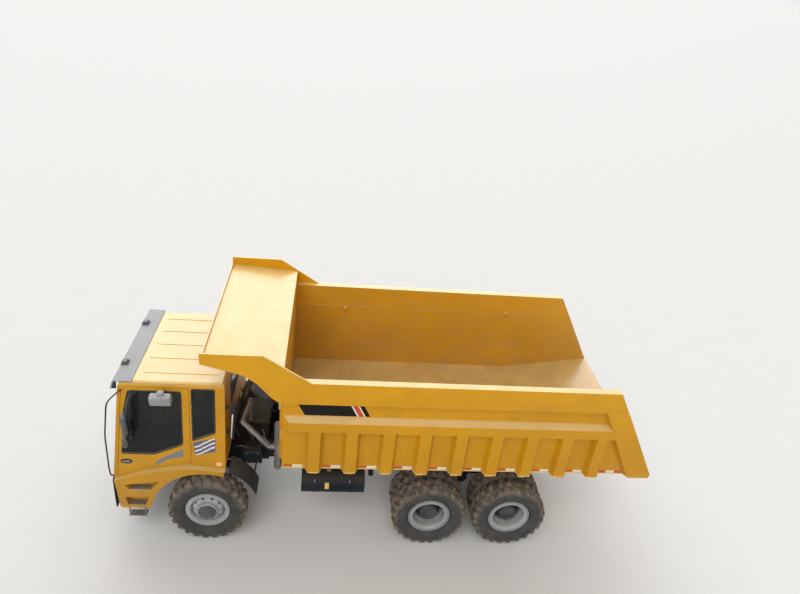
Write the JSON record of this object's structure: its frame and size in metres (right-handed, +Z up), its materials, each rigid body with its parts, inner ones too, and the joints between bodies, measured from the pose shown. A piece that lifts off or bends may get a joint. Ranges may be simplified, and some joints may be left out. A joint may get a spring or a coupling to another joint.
{
  "type": "mining dump truck",
  "caption": "Rigid six-wheeled mining dump truck with a flat-fronted cab, steered front axle, twin-tyred tandem and a ribbed rear-tipping bed whose canopy reaches over the cab.",
  "frame": {"origin": "on the ground, at the middle of the truck's length and width", "axes": "+X towards the front of the truck, +Y to its left side, +Z up"},
  "size_m": [9.44, 3.4, 4.1198],
  "materials": {
    "yellow_paint": "satin",
    "black_paint": "satin",
    "glass": "gloss",
    "tyre_rubber": "matt",
    "rim_silver": "satin",
    "grey_iron": "satin",
    "raw_steel": "satin",
    "hard_chrome": "gloss",
    "grey_plastic": "matt",
    "lamp_lens": "gloss",
    "red_lens": "gloss"
  },
  "bodies": {
    "chassis": {"frame_rails": "black_paint", "cross_members": "black_paint", "hoist_foot": "black_paint", "frame_brackets": "black_paint", "front_bumper": "black_paint", "fender_left": "yellow_paint", "fender_right": "yellow_paint", "cab_shell": "yellow_paint", "cab_interior": "grey_plastic", "windscreen": "glass", "cab_rear_glass": "glass", "sun_visor": "grey_plastic", "front_grab_rails": "black_paint", "front_grille": "black_paint", "headlamps": "lamp_lens", "cab_steps": "raw_steel", "engine_block": "grey_iron", "radiator": "black_paint", "exhaust": "raw_steel", "air_intake": "grey_iron", "front_axle_beam": "black_paint", "front_springs": "black_paint", "rear_axles": "black_paint", "rear_springs": "black_paint", "prop_shafts": "grey_iron", "side_tanks": "black_paint", "mudguards": "grey_plastic", "tail_lamps": "red_lens"},
    "knuckle_left": {"knuckle_left": "grey_iron"},
    "knuckle_right": {"knuckle_right": "grey_iron"},
    "track_rod": {"track_rod": "grey_iron"},
    "wheel_front_left": {"front_left_rim": "rim_silver", "front_left_tyre": "tyre_rubber"},
    "wheel_front_right": {"front_right_rim": "rim_silver", "front_right_tyre": "tyre_rubber"},
    "twin_1_left": {"rear_1_left_rims": "rim_silver", "rear_1_left_tyres": "tyre_rubber"},
    "twin_1_right": {"rear_1_right_rims": "rim_silver", "rear_1_right_tyres": "tyre_rubber"},
    "twin_2_left": {"rear_2_left_rims": "rim_silver", "rear_2_left_tyres": "tyre_rubber"},
    "twin_2_right": {"rear_2_right_rims": "rim_silver", "rear_2_right_tyres": "tyre_rubber"},
    "door_left": {"door_left": "yellow_paint", "door_left_glass": "glass", "door_left_mirrors": "grey_plastic"},
    "door_right": {"door_right": "yellow_paint", "door_right_glass": "glass", "door_right_mirrors": "grey_plastic"},
    "bed": {"bed_body": "yellow_paint", "bed_canopy": "yellow_paint", "bed_subframe": "yellow_paint", "bed_bearers": "yellow_paint"},
    "hoist_barrels": {"hoist_barrels": "grey_iron"},
    "hoist_rods": {"hoist_rods": "hard_chrome"}
  },
  "joints": [
    {"name": "steer_left", "type": "hinge", "parent": "chassis", "child": "knuckle_left", "pos_m": [3.1, 1.08, 0.685], "axis": [0, 0, 1], "range_deg": [-33, 33]},
    {"name": "steer_right", "type": "hinge", "parent": "chassis", "child": "knuckle_right", "pos_m": [3.1, -1.08, 0.685], "axis": [0, 0, 1], "range_deg": [-33, 33]},
    {"name": "track_rod_pivot", "type": "hinge", "parent": "knuckle_left", "child": "track_rod", "pos_m": [2.85, 1.08, 0.572], "axis": [0, 0, 1], "range_deg": [-33, 33]},
    {"name": "roll_front_left", "type": "hinge", "parent": "knuckle_left", "child": "wheel_front_left", "pos_m": [3.1, 1.39, 0.685], "axis": [0, 1, 0], "continuous": true},
    {"name": "roll_front_right", "type": "hinge", "parent": "knuckle_right", "child": "wheel_front_right", "pos_m": [3.1, -1.39, 0.685], "axis": [0, 1, 0], "continuous": true},
    {"name": "roll_rear_1_left", "type": "hinge", "parent": "chassis", "child": "twin_1_left", "pos_m": [-0.85, 1.268, 0.685], "axis": [0, 1, 0], "continuous": true},
    {"name": "roll_rear_1_right", "type": "hinge", "parent": "chassis", "child": "twin_1_right", "pos_m": [-0.85, -1.268, 0.685], "axis": [0, 1, 0], "continuous": true},
    {"name": "roll_rear_2_left", "type": "hinge", "parent": "chassis", "child": "twin_2_left", "pos_m": [-2.35, 1.268, 0.685], "axis": [0, 1, 0], "continuous": true},
    {"name": "roll_rear_2_right", "type": "hinge", "parent": "chassis", "child": "twin_2_right", "pos_m": [-2.35, -1.268, 0.685], "axis": [0, 1, 0], "continuous": true},
    {"name": "door_left_swing", "type": "hinge", "parent": "chassis", "child": "door_left", "pos_m": [3.375, 1.34391, 1.5016], "axis": [0, -0.1142, 0.9935], "range_deg": [0, 70]},
    {"name": "door_right_swing", "type": "hinge", "parent": "chassis", "child": "door_right", "pos_m": [3.375, -1.34391, 1.5016], "axis": [0, -0.1142, -0.9935], "range_deg": [0, 70]},
    {"name": "bed_tip", "type": "hinge", "parent": "chassis", "child": "bed", "pos_m": [-3.35, 0, 1.5], "axis": [0, -1, 0], "range_deg": [0, 47]},
    {"name": "hoist_swing", "type": "hinge", "parent": "chassis", "child": "hoist_barrels", "pos_m": [-0.1, 0, 0.92], "axis": [0, 1, 0], "range_deg": [0, 15.64]},
    {"name": "hoist_stroke", "type": "slide", "parent": "hoist_barrels", "child": "hoist_rods", "axis": [-0.9674, 0, 0.2534], "range_m": [0, 0.651]}
  ],
  "couplings": [
    {"joint": "steer_right", "follows": "steer_left", "ratio": 1},
    {"joint": "track_rod_pivot", "follows": "steer_left", "ratio": -1},
    {"joint": "hoist_swing", "follows": "bed_tip", "ratio": 0.32217},
    {"joint": "hoist_stroke", "follows": "bed_tip", "m_per_rad": 0.78732}
  ]
}
